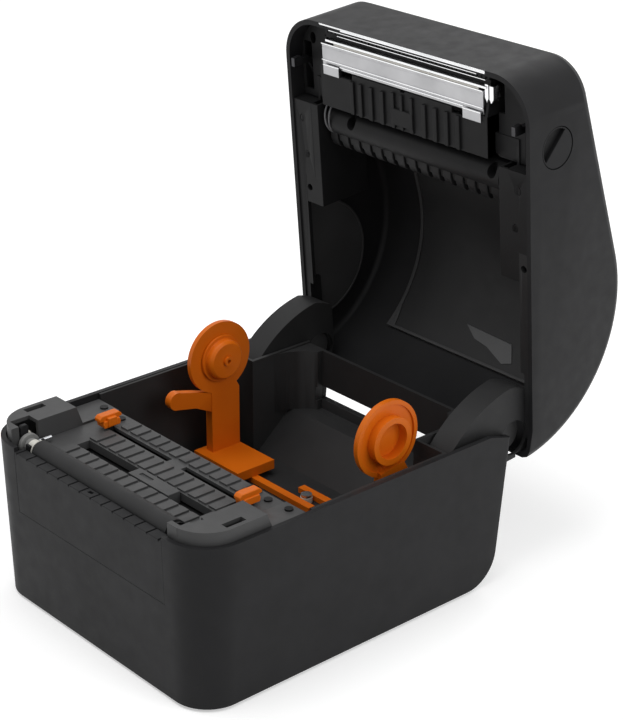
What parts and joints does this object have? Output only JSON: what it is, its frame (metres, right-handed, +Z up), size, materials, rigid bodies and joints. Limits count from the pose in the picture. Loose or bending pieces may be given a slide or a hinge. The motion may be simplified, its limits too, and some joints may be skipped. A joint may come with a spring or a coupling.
{
  "type": "thermal label printer",
  "caption": "Desktop thermal label printer with its lid open, showing spool holders, label guides, platen roller and printhead.",
  "frame": {"origin": "centre of the bounding box on the plane of the rubber feet, with the lid open", "axes": "+X to the printer's right seen from the front, -Y the label exit, +Y the rear, +Z up"},
  "size_m": [0.199, 0.3156, 0.3081],
  "materials": {
    "housing": "matte, fine grain",
    "inner": "matte",
    "orange": "satin",
    "rubber_black": "matte",
    "platen_rubber": "matte",
    "steel": "satin",
    "dark_steel": "blackened",
    "head_alloy": "satin",
    "ceramic": "glazed",
    "gear_resin": "satin",
    "brass_gear": "satin",
    "board": "satin",
    "black_plastic": "satin",
    "button_grey": "satin",
    "lens": "clear"
  },
  "bodies": {
    "base": {"base_tub": "housing", "front_panel": "housing", "rubber_feet": "rubber_black", "case_screws": "steel", "top_frame": "inner", "media_well": "inner", "gear_cover_left": "inner", "cap_right": "inner", "media_bed": "inner", "bed_screws": "dark_steel", "hinge_pins": "steel", "main_board": "board", "dc_jack": "black_plastic", "usb_port": "steel", "ethernet_port": "steel", "switch_frame": "black_plastic", "stepper_motor": "steel", "gear_bracket": "steel", "platen_bearing_left": "steel", "platen_bearing_right": "steel", "pinion_screw": "steel"},
    "lid": {"lid_shell": "housing", "lid_frame": "inner", "hinge_arm_left": "inner", "hinge_arm_right": "inner", "cable_cover": "button_grey", "head_carrier": "inner", "comb_bar": "inner", "head_springs": "steel", "tear_bar": "head_alloy", "status_lens": "lens", "lid_screws": "dark_steel"},
    "head": {"printhead": "head_alloy", "head_element": "ceramic"},
    "latch": {"latch_shaft": "steel", "latch_hook_left": "dark_steel", "latch_hook_right": "dark_steel", "release_tab_left": "black_plastic", "release_tab_right": "black_plastic"},
    "feed_key": {"feed_button": "button_grey"},
    "rocker": {"power_rocker": "black_plastic"},
    "platen": {"platen_gear": "gear_resin", "platen_shaft": "steel", "platen_rubber": "platen_rubber"},
    "idler": {"idler_gear": "gear_resin"},
    "pinion": {"motor_pinion": "brass_gear"},
    "sensor": {"media_sensor": "black_plastic"},
    "guide_left": {"label_guide_left": "orange"},
    "guide_right": {"label_guide_right": "orange"},
    "guide_gear": {"guide_pinion": "gear_resin"},
    "holder_left": {"spool_holder_left": "orange"},
    "holder_right": {"spool_holder_right": "orange"},
    "holder_gear": {"spool_pinion": "gear_resin"},
    "hub_left": {"spool_hub_left": "orange"},
    "hub_right": {"spool_hub_right": "orange"}
  },
  "joints": [
    {"name": "lid_hinge", "type": "hinge", "parent": "base", "child": "lid", "pos_m": [0, 0.06647, 0.079], "axis": [1, 0, 0], "range_deg": [0, 85.1]},
    {"name": "head_float", "type": "hinge", "parent": "lid", "child": "head", "pos_m": [0, 0.08234, 0.27317], "axis": [1, 0, 0], "range_deg": [-2, 0], "stiffness_Nm_per_rad": 8, "springref_deg": 2.86},
    {"name": "latch_turn", "type": "hinge", "parent": "lid", "child": "latch", "pos_m": [0, 0.09492, 0.2634], "axis": [1, 0, 0], "range_deg": [0, 10], "stiffness_Nm_per_rad": 0.6, "springref_deg": -8.59},
    {"name": "feed_press", "type": "slide", "parent": "lid", "child": "feed_key", "axis": [0, -0.9603, -0.279], "range_m": [0, 0.001], "stiffness_N_per_m": 400, "springref_m": -0.001},
    {"name": "power_switch", "type": "hinge", "parent": "base", "child": "rocker", "pos_m": [0.052, 0.06517, 0.032], "axis": [0, 0, 1], "range_deg": [0, 14]},
    {"name": "platen_spin", "type": "hinge", "parent": "base", "child": "platen", "pos_m": [0, -0.14393, 0.0966], "axis": [1, 0, 0], "continuous": true},
    {"name": "idler_spin", "type": "hinge", "parent": "base", "child": "idler", "pos_m": [-0.08, -0.12883, 0.07952], "axis": [1, 0, 0], "continuous": true},
    {"name": "motor_spin", "type": "hinge", "parent": "base", "child": "pinion", "pos_m": [-0.08, -0.11631, 0.06291], "axis": [1, 0, 0], "continuous": true},
    {"name": "sensor_slide", "type": "slide", "parent": "base", "child": "sensor", "axis": [1, 0, 0], "range_m": [-0.048, 0.027]},
    {"name": "guide_left_slide", "type": "slide", "parent": "base", "child": "guide_left", "axis": [1, 0, 0], "range_m": [0, 0.054]},
    {"name": "guide_right_slide", "type": "slide", "parent": "base", "child": "guide_right", "axis": [1, 0, 0], "range_m": [-0.054, 0]},
    {"name": "guide_gear_spin", "type": "hinge", "parent": "base", "child": "guide_gear", "pos_m": [0, -0.09533, 0.0911], "axis": [0, 0, 1], "range_deg": [-5, 1040]},
    {"name": "holder_left_slide", "type": "slide", "parent": "base", "child": "holder_left", "axis": [1, 0, 0], "range_m": [0, 0.036]},
    {"name": "holder_right_slide", "type": "slide", "parent": "base", "child": "holder_right", "axis": [1, 0, 0], "range_m": [-0.036, 0]},
    {"name": "holder_gear_spin", "type": "hinge", "parent": "base", "child": "holder_gear", "pos_m": [0, 0.00117, 0.0383], "axis": [0, 0, 1], "range_deg": [-5, 520]},
    {"name": "hub_left_spin", "type": "hinge", "parent": "holder_left", "child": "hub_left", "pos_m": [-0.069, -0.00503, 0.1101], "axis": [1, 0, 0], "continuous": true},
    {"name": "hub_right_spin", "type": "hinge", "parent": "holder_right", "child": "hub_right", "pos_m": [0.069, -0.00503, 0.1101], "axis": [1, 0, 0], "continuous": true}
  ],
  "couplings": [
    {"joint": "idler_spin", "follows": "platen_spin", "ratio": -0.425},
    {"joint": "motor_spin", "follows": "platen_spin", "ratio": 1.4167},
    {"joint": "guide_right_slide", "follows": "guide_left_slide", "ratio": -1},
    {"joint": "guide_gear_spin", "follows": "guide_left_slide", "rad_per_m": 333.33},
    {"joint": "holder_right_slide", "follows": "holder_left_slide", "ratio": -1},
    {"joint": "holder_gear_spin", "follows": "holder_left_slide", "rad_per_m": 250}
  ]
}
